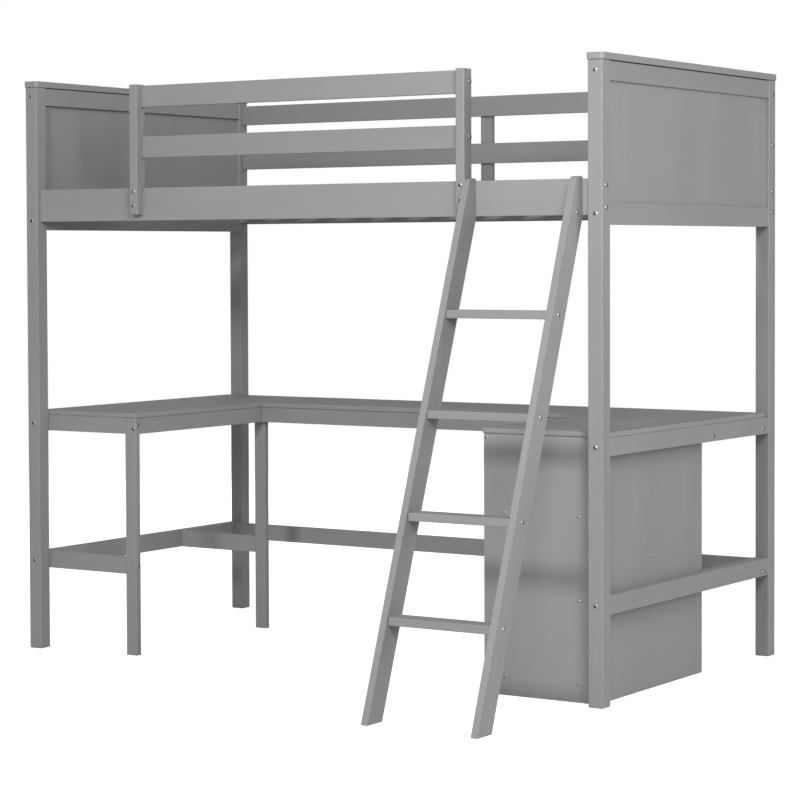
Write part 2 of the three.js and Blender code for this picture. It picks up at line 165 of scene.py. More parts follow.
def math_node(tree, operation, *values):
    """A Math node, as its output socket."""
    return add_node(tree, "ShaderNodeMath", dict(enumerate(values)), operation=operation).outputs[0]


def new_group(name, inputs, outputs):
    """An empty node group with named sockets. Each socket is (name, kind, default)."""
    group = bpy.data.node_groups.new(name, "ShaderNodeTree")
    for socket, kind, default in inputs:
        made = group.interface.new_socket(socket, in_out="INPUT", socket_type=kind)
        if default is not None:
            made.default_value = default
    for socket, kind in outputs:
        group.interface.new_socket(socket, in_out="OUTPUT", socket_type=kind)
    return group, group.nodes.new("NodeGroupInput"), group.nodes.new("NodeGroupOutput")


FLOAT = "NodeSocketFloat"
VECTOR = "NodeSocketVector"

# %% [markdown]
# ## Wood grain
#
# Softwood shows two things at once. Growth rings make broad bands, which run almost straight along the
# board and close into arches where the saw left the heart. On top of them lie fine fibres, thousands of
# short dashes along the grain. A picture of wood would give both, but it would repeat on every board.
# The group below works them out from the place itself. It measures how far a point is from a wandering
# line beside the board, and turns that distance into rings. Its input already has the grain along X.

# %% The grain group
WANDER_STRETCH = (1.1, 6.0, 6.0)
NOISE_MIDDLE = (0.5, 0.5, 0.5)
HEART_STRETCH = (0.02, 1.0, 1.0)
RING_SHARPNESS = 1.6
FIBRE_STRETCH = (14.0, 620.0, 620.0)


def build_grain_group():
    """Rings and fibres, each from 0 to 1, for a place in metres with the grain along X."""
    sockets = [("Place", VECTOR, None), ("Ring Spacing", FLOAT, 0.006), ("Wander", FLOAT, 0.025)]
    group, given, result = new_group("wood grain", sockets, [("Rings", FLOAT), ("Fibres", FLOAT)])
    place = given.outputs["Place"]
    slow = add_node(group, "ShaderNodeMapping", {"Vector": place, "Scale": WANDER_STRETCH})
    wander = add_node(group, "ShaderNodeTexNoise", {"Vector": slow.outputs[0], "Scale": 1.0, "Detail": 2.0})
    centred = add_node(group, "ShaderNodeVectorMath", {0: wander.outputs["Color"], 1: NOISE_MIDDLE},
                       operation="SUBTRACT")
    pushed = add_node(group, "ShaderNodeVectorMath", {0: centred.outputs[0]}, operation="SCALE")
    group.links.new(given.outputs["Wander"], pushed.inputs["Scale"])
    moved = add_node(group, "ShaderNodeVectorMath", {0: place, 1: pushed.outputs[0]}, operation="ADD")
    flat = add_node(group, "ShaderNodeVectorMath", {0: moved.outputs[0], 1: HEART_STRETCH},
                    operation="MULTIPLY")
    reach = add_node(group, "ShaderNodeVectorMath", {0: flat.outputs[0]}, operation="LENGTH")
    count = math_node(group, "DIVIDE", reach.outputs["Value"], given.outputs["Ring Spacing"])
    wave = math_node(group, "SINE", math_node(group, "MULTIPLY", count, 2 * math.pi))
    band = math_node(group, "MULTIPLY_ADD", wave, 0.5, 0.5)
    rings = math_node(group, "POWER", band, RING_SHARPNESS)
    group.links.new(rings, result.inputs["Rings"])
    fine = add_node(group, "ShaderNodeMapping", {"Vector": place, "Scale": FIBRE_STRETCH})
    fibre = add_node(group, "ShaderNodeTexNoise", {"Vector": fine.outputs[0], "Scale": 1.0, "Detail": 3.0})
    group.links.new(fibre.outputs["Fac"], result.inputs["Fibres"])
    return group


grain_group = build_grain_group()
print("group:", grain_group.name, "with", len(grain_group.nodes), "nodes")

# %% [markdown]
# ## Painted highlight and wear on edges
#
# Paint is thinnest on an edge, where sandpaper and hands take it down, so an edge is made a little
# shinier than the face beside it. It is also painted a little lighter, as a painted highlight for the
# light that a rounded edge catches. The Bevel node gives the direction that a face would have if its
# edges were round. Where that differs from the true direction there is an edge, and the difference
# becomes a mask. A slow noise breaks it up, so that neither the highlight nor the wear is even.

# %% The edge wear group
FACE_MATCH = 0.995
EDGE_MATCH = 0.86


def build_edge_highlight_and_wear_group():
    """A mask that is 1 on an edge, for a painted highlight and a worn shine. The Width is how far it
    reaches, in metres.
    """
    group, given, result = new_group(
        "edge highlight and wear", [("Place", VECTOR, None), ("Width", FLOAT, 0.003)], [("Mask", FLOAT)])
    round_edge = add_node(group, "ShaderNodeBevel", {"Radius": given.outputs["Width"]}, samples=4)
    true_face = add_node(group, "ShaderNodeNewGeometry")
    match = add_node(group, "ShaderNodeVectorMath",
                     {0: round_edge.outputs[0], 1: true_face.outputs["Normal"]}, operation="DOT_PRODUCT")
    edge = add_node(group, "ShaderNodeMapRange",
                    {"Value": match.outputs["Value"], "From Min": FACE_MATCH, "From Max": EDGE_MATCH})
    patches = add_node(group, "ShaderNodeTexNoise",
                       {"Vector": given.outputs["Place"], "Scale": 35.0, "Detail": 3.0})
    uneven = add_node(group, "ShaderNodeMapRange",
                      {"Value": patches.outputs["Fac"], "From Min": 0.35, "From Max": 0.65})
    group.links.new(math_node(group, "MULTIPLY", edge.outputs[0], uneven.outputs[0]), result.inputs["Mask"])
    return group


edge_highlight_and_wear_group = build_edge_highlight_and_wear_group()
print("group:", edge_highlight_and_wear_group.name)

# %% [markdown]
# ## Grey satin paint
#
# The boards are sprayed a mid grey. Three things keep it from looking like plastic. The grain swells a
# little under the first coat and shows through as faint lines. The film itself has a fine ripple, like
# orange peel. And no two boards take quite the same shade. The grain has to run along each board, so one
# material is made for each way a board can lie, with the place turned before it reaches the groups. The
# wide panels are smooth sheet stock, so their paint is calmer.

# %% Paint material
PAINT_GREY = 0.290
BLUE_LIFT = 1.01
BOARD_SHADE = 0.035
CLOUD_SHADE = 0.08
RING_SHADE = 0.014
FIBRE_SHADE = 0.06
# painted highlight: how much lighter the edges are painted, for the light that rounded edges catch
PAINTED_EDGE_HIGHLIGHT = 0.10
CLOUD_STRETCH = (0.9, 5.0, 5.0)
SATIN = (0.36, 0.56)
WORN_SHINE = -0.08
FIBRE_SWELL = 0.55
RING_SWELL = 0.25
RIPPLE_SWELL = 0.3
PAINT_BUMP = 0.22
PAINT_DEPTH = 0.6 * MM
PANEL_CALM = 0.4
START_SPREAD = (7.0, 0.31, 0.17)
LADDER_RUN = 0.362
LADDER_LEAN = math.atan(LADDER_RUN)
GRAIN_TURNS = {
    "along_x": (0, 0, 0),
    "along_y": (0, 0, -math.pi / 2),
    "along_z": (0, math.pi / 2, 0),
    "up_the_ladder": (LADDER_LEAN, math.pi / 2, 0),
}


def grain_place(tree, way):
    """The place inside a board, turned so that the grain is along X, with a different start for each."""
    where = add_node(tree, "ShaderNodeTexCoord").outputs["Object"]
    turned = add_node(tree, "ShaderNodeMapping", {"Vector": where, "Rotation": GRAIN_TURNS[way]})
    chance = add_node(tree, "ShaderNodeObjectInfo").outputs["Random"]
    shifts = {axis: math_node(tree, "MULTIPLY", chance, reach) for axis, reach in enumerate(START_SPREAD)}
    start = add_node(tree, "ShaderNodeCombineXYZ", shifts)
    place = add_node(tree, "ShaderNodeVectorMath", {0: turned.outputs[0], 1: start.outputs[0]},
                     operation="ADD")
    return place.outputs[0], chance


def new_material(name):
    """A material, its node tree and its Principled shader."""
    material = bpy.data.materials.new(name)
    material.use_nodes = True
    tree = material.node_tree
    return material, tree, tree.nodes["Principled BSDF"]


def make_paint(way, calm=1.0, name=None):
    """Grey paint with the grain along one way. A calm below 1 lets less of the wood through."""
    material, tree, shader = new_material(f"grey_paint_{name or way}")
    place, chance = grain_place(tree, way)
    grain = add_node(tree, "ShaderNodeGroup", node_tree=grain_group)
    tree.links.new(place, grain.inputs["Place"])
    # the edge mask paints a highlight on edges into the colour, and makes the edges a little shinier
    edge_highlight_and_wear = add_node(tree, "ShaderNodeGroup", node_tree=edge_highlight_and_wear_group)
    tree.links.new(place, edge_highlight_and_wear.inputs["Place"])
    cloud_place = add_node(tree, "ShaderNodeMapping", {"Vector": place, "Scale": CLOUD_STRETCH})
    cloud = add_node(tree, "ShaderNodeTexNoise",
                     {"Vector": cloud_place.outputs[0], "Scale": 2.2, "Detail": 3.0})
    # the shade: one step for each board, slow clouds, rings, fibres, and a painted highlight on edges
    steps = (
        (chance, -BOARD_SHADE, BOARD_SHADE),
        (cloud.outputs["Fac"], -CLOUD_SHADE, CLOUD_SHADE),
        (grain.outputs["Rings"], -RING_SHADE * calm, RING_SHADE * calm),
        (grain.outputs["Fibres"], -FIBRE_SHADE * calm, FIBRE_SHADE * calm),
        (edge_highlight_and_wear.outputs["Mask"], 0.0, PAINTED_EDGE_HIGHLIGHT * calm),
    )
    shade = 1.0
    for source, low, high in steps:
        step = add_node(tree, "ShaderNodeMapRange", {"Value": source, "To Min": low, "To Max": high})
        shade = math_node(tree, "ADD", step.outputs[0], shade)
    tone = math_node(tree, "MULTIPLY", shade, PAINT_GREY)
    blue = math_node(tree, "MULTIPLY", tone, BLUE_LIFT)
    colour = add_node(tree, "ShaderNodeCombineColor", {"Red": tone, "Green": tone, "Blue": blue})
    tree.links.new(colour.outputs[0], shader.inputs["Base Color"])
    rough = add_node(tree, "ShaderNodeMapRange",
                     {"Value": cloud.outputs["Fac"], "To Min": SATIN[0], "To Max": SATIN[1]})
    smooth = math_node(tree, "MULTIPLY_ADD", edge_highlight_and_wear.outputs["Mask"], WORN_SHINE, rough.outputs[0])
    tree.links.new(smooth, shader.inputs["Roughness"])
    ripple = add_node(tree, "ShaderNodeTexNoise", {"Vector": place, "Scale": 260.0, "Detail": 1.0})
    height = math_node(tree, "ADD", math_node(tree, "MULTIPLY", grain.outputs["Fibres"], FIBRE_SWELL),
                       math_node(tree, "MULTIPLY", grain.outputs["Rings"], RING_SWELL))
    height = math_node(tree, "ADD", height, math_node(tree, "MULTIPLY", ripple.outputs["Fac"], RIPPLE_SWELL))
    bump = add_node(tree, "ShaderNodeBump",
                    {"Height": height, "Strength": PAINT_BUMP * calm, "Distance": PAINT_DEPTH})
    tree.links.new(bump.outputs[0], shader.inputs["Normal"])
    return material


paint = {way: make_paint(way) for way in GRAIN_TURNS}
paint["panel"] = make_paint("along_z", PANEL_CALM, "panel")
print("paints:", sorted(m.name for m in paint.values()))

# %% [markdown]
# ## Bare softwood
#
# Slats and drawer boxes are left bare. The rings show as honey-coloured lines on pale wood, and the
# fibres scatter the light so that there is hardly any shine. Drawer bottoms are thin plywood, with the
# same group but wider rings that wander more, as on a peeled veneer.

# %% Bare wood material
RING_DEPTH = 0.75
MIX_FACTOR, MIX_FIRST, MIX_SECOND, MIX_RESULT = 0, 6, 7, 2


def make_bare_wood(name, way, pale, dark, ring_spacing, wander):
    material, tree, shader = new_material(name)
    place, chance = grain_place(tree, way)
    grain = add_node(tree, "ShaderNodeGroup", node_tree=grain_group)
    grain.inputs["Ring Spacing"].default_value = ring_spacing
    grain.inputs["Wander"].default_value = wander
    tree.links.new(place, grain.inputs["Place"])
    bands = add_node(tree, "ShaderNodeMix", data_type="RGBA")
    depth = math_node(tree, "MULTIPLY", grain.outputs["Rings"], RING_DEPTH)
    tree.links.new(depth, bands.inputs[MIX_FACTOR])
    bands.inputs[MIX_FIRST].default_value = (*pale, 1)
    bands.inputs[MIX_SECOND].default_value = (*dark, 1)
    board_tone = add_node(tree, "ShaderNodeMapRange", {"Value": chance, "To Min": 0.86, "To Max": 1.1})
    fibre_tone = add_node(tree, "ShaderNodeMapRange",
                          {"Value": grain.outputs["Fibres"], "To Min": 0.82, "To Max": 1.15})
    toned = add_node(tree, "ShaderNodeVectorMath", {0: bands.outputs[MIX_RESULT]}, operation="SCALE")
    tree.links.new(math_node(tree, "MULTIPLY", board_tone.outputs[0], fibre_tone.outputs[0]),
                   toned.inputs["Scale"])
    tree.links.new(toned.outputs[0], shader.inputs["Base Color"])
    rough = add_node(tree, "ShaderNodeMapRange",
                     {"Value": grain.outputs["Fibres"], "To Min": 0.62, "To Max": 0.82})
    tree.links.new(rough.outputs[0], shader.inputs["Roughness"])
    bump = add_node(tree, "ShaderNodeBump",
                    {"Height": grain.outputs["Fibres"], "Strength": 0.4, "Distance": 0.0005})
    tree.links.new(bump.outputs[0], shader.inputs["Normal"])
    return material


PINE_PALE = (0.68, 0.56, 0.41)
PINE_DARK = (0.56, 0.43, 0.28)
PLY_PALE = (0.58, 0.48, 0.35)
PLY_DARK = (0.52, 0.41, 0.28)
pine = {way: make_bare_wood(f"pine_{way}", way, PINE_PALE, PINE_DARK, ring_spacing=0.0055, wander=0.010)
        for way in ("along_x", "along_y")}
plywood = make_bare_wood("plywood", "along_y", PLY_PALE, PLY_DARK, ring_spacing=0.016, wander=0.030)
print("bare woods:", [m.name for m in pine.values()], plywood.name)

# %% [markdown]
# ## Metal
#
# Bolt heads and knobs are plated steel. Plating is metal through and through to the light, so Metallic
# is one and the colour is what it reflects. A fine noise in the roughness stands for the handling that
# any fastener gets. Most fasteners are plated grey. The screws inside the drawers and one odd screw on
# the pedestal are plated yellow. Each socket gets a black piece, which is painted shade for the shadow
# inside the recess, and so a bolt reads as a dark dot with a bright rim.

# %% Metal material
def make_plating(name, colour, low, high):
    """Plated steel, with a roughness that wanders from low to high."""
    material, tree, shader = new_material(name)
    shader.inputs["Base Color"].default_value = (*colour, 1)
    shader.inputs["Metallic"].default_value = 1.0
    where = add_node(tree, "ShaderNodeTexCoord").outputs["Object"]
    smear = add_node(tree, "ShaderNodeTexNoise", {"Vector": where, "Scale": 420.0, "Detail": 4.0})
    rough = add_node(tree, "ShaderNodeMapRange",
                     {"Value": smear.outputs["Fac"], "From Min": 0.3, "From Max": 0.7,
                      "To Min": low, "To Max": high})
    tree.links.new(rough.outputs[0], shader.inputs["Roughness"])
    bump = add_node(tree, "ShaderNodeBump",
                    {"Height": smear.outputs["Fac"], "Strength": 0.15, "Distance": 0.0002})
    tree.links.new(bump.outputs[0], shader.inputs["Normal"])
    return material


grey_plating = make_plating("grey_plating", (0.56, 0.56, 0.55), low=0.30, high=0.46)
# black, for the pieces in the sockets: painted shade standing in for the shadow in the recesses
painted_socket_shade = make_plating("painted_socket_shade", (0.05, 0.05, 0.05), low=0.45, high=0.60)
yellow_plating = make_plating("yellow_plating", (0.60, 0.47, 0.26), low=0.28, high=0.48)
satin_nickel = make_plating("satin_nickel", (0.62, 0.60, 0.57), low=0.24, high=0.34)
print("metals:", [m.name for m in (grey_plating, painted_socket_shade, yellow_plating, satin_nickel)])

# %% [markdown]
# ## Easing the edges of every board
#
# A board that leaves the planer has sharp edges, and paint would chip off them, so a maker eases them
# with sandpaper or a small round cutter. In Blender that is a Bevel modifier. It leaves the solid
# model's own mesh alone, and it also leaves a fine groove wherever two boards meet flush, as on the
# real thing. Handled parts are rounder than hidden ones, and the caps are the roundest.

# %% Ease and paint the boards
# in mm, by the start of a board's name
EASING = {
    "cap_": 4.0, "ladder_tread": 3.0, "ladder_rail": 2.5, "guard_post": 2.5, "guard_board": 2.5,
    "post_": 2.5, "desk_board": 2.0, "desk_leg": 2.0, "end_": 0.5, "apron_end": 0.5, "lower_rail": 0.6,
    "cabinet_": 0.8, "drawer_": 2.0,
}
USUAL_EASING = 1.6
EASING_SEGMENTS = 3
EDGE_ANGLE = math.radians(40)
WELD_DISTANCE = 0.01 * MM
# finer pieces take the place of these and of the knobs
BARE = ("slat_roll", "drawer_1_box", "drawer_2_box", "drawer_3_box")


def easing_of(name):
    for start, radius in EASING.items():
        if name.startswith(start):
            return radius * MM
    return USUAL_EASING * MM


def main_axis(vector):
    """The number of the axis that a vector mostly lies along."""
    return max(range(3), key=lambda axis: abs(vector[axis]))


def grain_way(name):
    if name.startswith("ladder_rail"):
        return "up_the_ladder"
    if "panel" in name:
        return "panel"
    low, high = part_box(name)
    return "along_" + "xyz"[main_axis(high - low)]


def ease(piece, radius):
    weld = piece.modifiers.new("weld", "WELD")
    weld.merge_threshold = WELD_DISTANCE
    bevel = piece.modifiers.new("eased edges", "BEVEL")
    bevel.width = radius
    bevel.segments = EASING_SEGMENTS
    bevel.limit_method = "ANGLE"
    bevel.angle_limit = EDGE_ANGLE
    bevel.harden_normals = True


def dress(piece, material):
    piece.data.materials.clear()
    piece.data.materials.append(material)


painted = [name for name in nodes if name not in BARE and not name.endswith("_knob")]
for name in painted:
    ease(nodes[name], easing_of(name))
    dress(nodes[name], paint[grain_way(name)])
print("painted boards:", len(painted))

# %% [markdown]
# ## Helpers for new pieces
#
# New pieces are built as bmesh, Blender's editable mesh, and then handed to one function that makes the
# object, gives it its material and tells it which body it rides on.

# %% Piece helpers
CREASE_ANGLE = math.radians(35)
BOARD_SEGMENTS = 2


def add_piece(name, mesh, material, body, smooth=True):
    """Makes an object of a bmesh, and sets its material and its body."""
    data = bpy.data.meshes.new(name)
    mesh.to_mesh(data)
    mesh.free()
    for face in data.polygons:
        face.use_smooth = smooth
    data.materials.append(material)
    piece = bpy.data.objects.new(name, data)
    bpy.context.scene.collection.objects.link(piece)
    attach(piece, body)
    return piece


def board_mesh(mesh, low, high, radius):
    """Adds a board with rounded edges to a bmesh."""
    size = Vector(high) - Vector(low)
    centre = (Vector(high) + Vector(low)) / 2
    stretch = Matrix.Translation(centre) @ Matrix.Diagonal((*size, 1))
    made = bmesh.ops.create_cube(mesh, size=1, matrix=stretch)
    edges = {edge for vertex in made["verts"] for edge in vertex.link_edges}
    bmesh.ops.bevel(mesh, geom=list(edges), offset=radius, segments=BOARD_SEGMENTS, profile=0.5,
                    affect="EDGES")


def sharpen(piece, angle=CREASE_ANGLE):
    """Smooth shading with creases kept, by a weighted-normal modifier."""
    piece.data.set_sharp_from_angle(angle=angle)
    keep = piece.modifiers.new("flat faces", "WEIGHTED_NORMAL")
    keep.keep_sharp = True


def add_board(name, low, high, radius, material, body):
    mesh = bmesh.new()
    board_mesh(mesh, low, high, radius)
    piece = add_piece(name, mesh, material, body)
    sharpen(piece)
    return piece


def facing(direction):
    """A turn that takes +Z to a direction."""
    return Vector((0, 0, 1)).rotation_difference(Vector(direction)).to_matrix().to_4x4()


# %% [markdown]
# ## Bolts
#
# The bed is made to be taken apart, so rails meet posts with machine bolts that run into steel barrel
# nuts. Only two things show: the low round head with its six-sided socket, and, on the inner face of the
# rail, the end of the barrel nut with its screwdriver slot. A head is turned like a lathe piece, ring by
# ring, on a thin washer. The rings of the socket are bent from a circle to a hexagon, which needs one
# formula: the distance to a hexagon's side grows with the angle away from the middle of that side. A
# second turned piece lies in each socket and is black, as painted shade for the shadow in the recess.
# Each outline below gives the reach of a ring at an angle, as a share of its radius.

# %% Outlines of the rings
CROSS_WAIST = 0.42
CROSS_SHARPNESS = 6
SLOT_HALF_WIDTH = 0.16
LEAST_SINE = 0.01


def round_ring(angle):
    return 1.0


def hexagon(angle):
    away = (angle + math.pi / 6) % (math.pi / 3) - math.pi / 6
    return 1 / math.cos(away)


def cross(angle):
    return CROSS_WAIST + (1 - CROSS_WAIST) * abs(math.cos(2 * angle)) ** CROSS_SHARPNESS


def driver_slot(angle):
    return min(1.0, SLOT_HALF_WIDTH / max(abs(math.sin(angle)), LEAST_SINE))


print("a hexagon's corner over the middle of its side:", round(hexagon(math.pi / 6), 3))

# %% [markdown]
# A turned shape is a unit of length and a list of rings. Each ring has its radius in units, its height
# above the surface, and its outline. The rings run from the rim to the middle. A head starts a little
# under the surface, so that no gap shows below it.

# %% Fastener shapes
AROUND = 24
HEAD_RADIUS = 6.2 * MM
HEAD_HEIGHT = 2.2 * MM
SCREW_RADIUS = 5.0 * MM
SCREW_HEIGHT = 0.9 * MM
BARREL_RADIUS = 5.0 * MM

BOLT_HEAD = (HEAD_RADIUS, (
    (1.28, -0.3 * MM, round_ring), (1.28, 0.25 * MM, round_ring), (1.22, 0.4 * MM, round_ring),
    (1.01, 0.42 * MM, round_ring), (1.0, 0.45 * HEAD_HEIGHT, round_ring),
    (0.93, 0.75 * HEAD_HEIGHT, round_ring), (0.78, 0.94 * HEAD_HEIGHT, round_ring),
    (0.64, HEAD_HEIGHT, round_ring), (0.54, 0.97 * HEAD_HEIGHT, hexagon),
    (0.52, 0.90 * HEAD_HEIGHT, hexagon), (0.52, 0.15 * HEAD_HEIGHT, hexagon),
    (0.10, 0.12 * HEAD_HEIGHT, round_ring)))
# a black piece in a bolt's hexagon socket: painted shade in the recess
BOLT_SOCKET_SHADE = (0.515 * HEAD_RADIUS, (
    (1.0, 0.10 * HEAD_HEIGHT, hexagon), (1.0, 0.55 * HEAD_HEIGHT, hexagon),
    (0.90, 0.40 * HEAD_HEIGHT, hexagon), (0.1, 0.32 * HEAD_HEIGHT, hexagon)))
SCREW_HEAD = (SCREW_RADIUS, (
    (1.0, -0.2 * MM, round_ring), (1.0, 0.25 * SCREW_HEIGHT, round_ring),
    (0.93, 0.62 * SCREW_HEIGHT, round_ring), (0.80, 0.88 * SCREW_HEIGHT, round_ring),
    (0.68, SCREW_HEIGHT, round_ring), (0.60, 0.96 * SCREW_HEIGHT, cross),
    (0.52, 0.20 * SCREW_HEIGHT, cross), (0.16, 0.05 * SCREW_HEIGHT, cross)))
# a black piece in a screw's cross recess: painted shade in the recess
SCREW_SOCKET_SHADE = (0.50 * SCREW_RADIUS, (
    (1.0, 0.10 * SCREW_HEIGHT, cross), (1.0, 0.70 * SCREW_HEIGHT, cross),
    (0.80, 0.60 * SCREW_HEIGHT, cross), (0.1, 0.50 * SCREW_HEIGHT, cross)))
BARREL_END = (BARREL_RADIUS, (
    (1.0, -0.3 * MM, round_ring), (1.0, 0.25 * MM, round_ring), (0.94, 0.42 * MM, round_ring),
    (0.86, 0.42 * MM, driver_slot), (0.84, 0.08 * MM, driver_slot), (0.1, 0.08 * MM, driver_slot)))


def turned_piece(mesh, place, direction, unit, rings):
    """Adds a turned shape to a bmesh, at a place on a surface that points in a direction."""
    move = Matrix.Translation(place) @ facing(direction)
    last = None
    for radius, height, outline in rings:
        ring = []
        for step in range(AROUND):
            angle = 2 * math.pi * step / AROUND
            reach = unit * radius * outline(angle)
            corner = Vector((reach * math.cos(angle), reach * math.sin(angle), height))
            ring.append(mesh.verts.new(move @ corner))
        if last:
            for step in range(AROUND):
                after = (step + 1) % AROUND
                mesh.faces.new((last[step], last[after], ring[after], ring[step]))
        else:
            mesh.faces.new(list(reversed(ring)))
        last = ring
    mesh.faces.new(last)


def add_fasteners(name, shape, spots, material, body="frame"):
    """One piece that holds many fasteners of a shape, each at a (place, direction)."""
    mesh = bmesh.new()
    for place, direction in spots:
        turned_piece(mesh, place, direction, *shape)
    sharpen(add_piece(name, mesh, material, body))
    print(name, len(spots))


# %% [markdown]
# Each bolt goes where a rail ends. The end rails are bolted through the posts from front and back, and
# the long rails from the two ends. The places come from the boards themselves, so a bolt can't miss the
# rail it holds.

# %% Frame bolts
LEFT, RIGHT = Vector((-1, 0, 0)), Vector((1, 0, 0))
FRONT, BACK = Vector((0, -1, 0)), Vector((0, 1, 0))
UP, DOWN = Vector((0, 0, 1)), Vector((0, 0, -1))


def middle(name):
    low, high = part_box(name)
    return (low + high) / 2


def face_towards(name, direction):
    """How far the face of a board lies along a direction's own axis."""
    low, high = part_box(name)
    axis = main_axis(direction)
    return high[axis] if direction[axis] > 0 else low[axis]


def spot_on(name, direction, x=None, y=None, z=None):
    """A place on the face of a board that points in a direction. Coordinates not given are the middle's."""
    place = middle(name)
    for axis, value in enumerate((x, y, z)):
        if value is not None:
            place[axis] = value
    place[main_axis(direction)] = face_towards(name, direction)
    return place, direction


SIDE_RAIL_THICK = 20 * MM
RAIL_BOLT_RISE = 20 * MM
RAIL_BOLT_DROP = 18 * MM
BARREL_INSET = 36 * MM
BACK_GUARD_BOARDS = ("guard_board_back_top", "guard_board_back_mid")
rail_low, rail_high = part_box("side_rail_front")
low_bolt, high_bolt = rail_low.z + RAIL_BOLT_RISE, rail_high.z - RAIL_BOLT_DROP


def rail_inner_face(side, away):
    """Where the inner face of a side rail lies, above the ledge that carries the slats."""
    return face_towards(f"side_rail_{side}", away) - away.y * SIDE_RAIL_THICK


bolts = []
barrels = []
for end, out in (("left", LEFT), ("right", RIGHT)):
    end_rails = (f"end_top_rail_{end}", f"end_bottom_rail_{end}", f"apron_end_{end}", f"lower_rail_{end}")
    for side, away in (("front", FRONT), ("back", BACK)):
        post = f"post_{side}_{end}"
        for rail in end_rails:
            bolts.append(spot_on(post, away, z=middle(rail).z))
        for height in (low_bolt, high_bolt):
            bolts.append(spot_on(post, out, y=middle(post).y, z=height))
        barrel_x = face_towards(f"side_rail_{side}", out) - out.x * BARREL_INSET
        barrels.append((Vector((barrel_x, rail_inner_face(side, away), high_bolt)), -away))
    for board in BACK_GUARD_BOARDS:
        bolts.append(spot_on(f"post_back_{end}", out, y=middle(board).y, z=middle(board).z))
        barrel_x = face_towards(board, out) - out.x * BARREL_INSET
        barrels.append(spot_on(board, FRONT, x=barrel_x))
print("frame bolts so far:", len(bolts), "barrel nuts:", len(barrels))

# %% [markdown]
# The guard posts are bolted to the side rail low down, and the guard boards' ends are bolted through
# them. The ladder has one bolt through each rail for each tread. The front desk leg takes the ends of
# the front apron and stretcher from the side, and the end of the inner apron from the front.

# %% Guard, ladder and desk bolts
GUARD_BOLT_DROP = 12 * MM
GUARD_BOLT_RISE = 44 * MM
GUARD_BARREL_INSET = 30 * MM
LADDER_BOLT_REACH = 28 * MM
LADDER_BOLT_RISE = 7 * MM
LEG_FRONT_DROP = 9 * MM
LEG_SIDE_RISE = 2 * MM
APRON_BOLT_DROP = 10 * MM
LOWER_RAIL_BOLT_DROP = 12 * MM

for end, out in (("left", LEFT), ("right", RIGHT)):
    post = f"guard_post_{end}"
    for height in (rail_high.z - GUARD_BOLT_DROP, rail_low.z + GUARD_BOLT_RISE):
        bolts.append(spot_on(post, FRONT, z=height))
    for board in ("guard_board_front_top", "guard_board_front_mid"):
        bolts.append(spot_on(post, out, y=middle(board).y, z=middle(board).z))
        barrels.append(spot_on(board, BACK, x=face_towards(board, out) - out.x * GUARD_BARREL_INSET))
    rail = f"ladder_rail_{end}"
    for number in (1, 2, 3, 4):
        tread = middle(f"ladder_tread_{number}")
        bolts.append(spot_on(rail, out, y=tread.y, z=tread.z))
    bolts.append(spot_on(rail, out, y=rail_low.y - LADDER_BOLT_REACH, z=rail_low.z + LADDER_BOLT_RISE))
for board in BACK_GUARD_BOARDS:
    bolts.append(spot_on("guard_post_back", BACK, z=middle(board).z))
bolts.append(spot_on("guard_post_back", BACK, z=middle("side_rail_back").z))

apron_height = middle("apron_left_front").z
inner_apron_x = middle("apron_left_inner").x
bolts.append(spot_on("desk_leg_front", FRONT, x=inner_apron_x, z=apron_height - LEG_FRONT_DROP))
bolts.append(spot_on("desk_leg_front", RIGHT, z=apron_height + LEG_SIDE_RISE))
bolts.append(spot_on("desk_leg_front", RIGHT, z=middle("stretcher_front").z))
bolts.append(spot_on("desk_leg_back", RIGHT, z=middle("stretcher_back").z))
bolts.append(spot_on("desk_leg_back", RIGHT, z=apron_height))
bolts.append(spot_on("desk_leg_back", BACK, z=apron_height))
end_bolt_height = apron_height - APRON_BOLT_DROP
back_rail = middle("lower_rail_back")
for end, out in (("left", LEFT), ("right", RIGHT)):
    bolts.append(spot_on(f"apron_end_{end}", out, y=middle("apron_back").y, z=end_bolt_height))
    bolts.append(spot_on(f"lower_rail_{end}", out, y=back_rail.y, z=back_rail.z - LOWER_RAIL_BOLT_DROP))
bolts.append(spot_on("apron_end_right", RIGHT, y=middle("cabinet_panel_rear").y, z=end_bolt_height))
bolts.append(spot_on("apron_end_left", LEFT, y=middle("apron_middle").y, z=end_bolt_height))
bolts.append(spot_on("lower_rail_left", LEFT, y=middle("stretcher_back").y))
add_fasteners("bolt_heads", BOLT_HEAD, bolts, grey_plating)
# black pieces in the bolt sockets: painted shade
add_fasteners("bolt_sockets", BOLT_SOCKET_SHADE, bolts, painted_socket_shade)
add_fasteners("barrel_nuts", BARREL_END, barrels, grey_plating)

# %% [markdown]
# ## Screws in the pedestal
#
# The pedestal is built for good, with screws through its panels into the edges of the bottom, the
# dividers and the top rails. The heads are flat, with a cross recess, and sit nearly flush. One came from
# another box, and is plated yellow.

# %% Pedestal screws
SHELVES = ("cabinet_bottom", "cabinet_divider_1", "cabinet_divider_2")
SHELF_SCREW_INSETS = (65 * MM, 58 * MM)
TOP_SCREW_INSET = 34 * MM
TOP_SCREW_RISE = 6 * MM
SIDE_SCREW_INSET = 8 * MM
SIDE_SCREW_HEIGHTS = (342 * MM, 369 * MM)

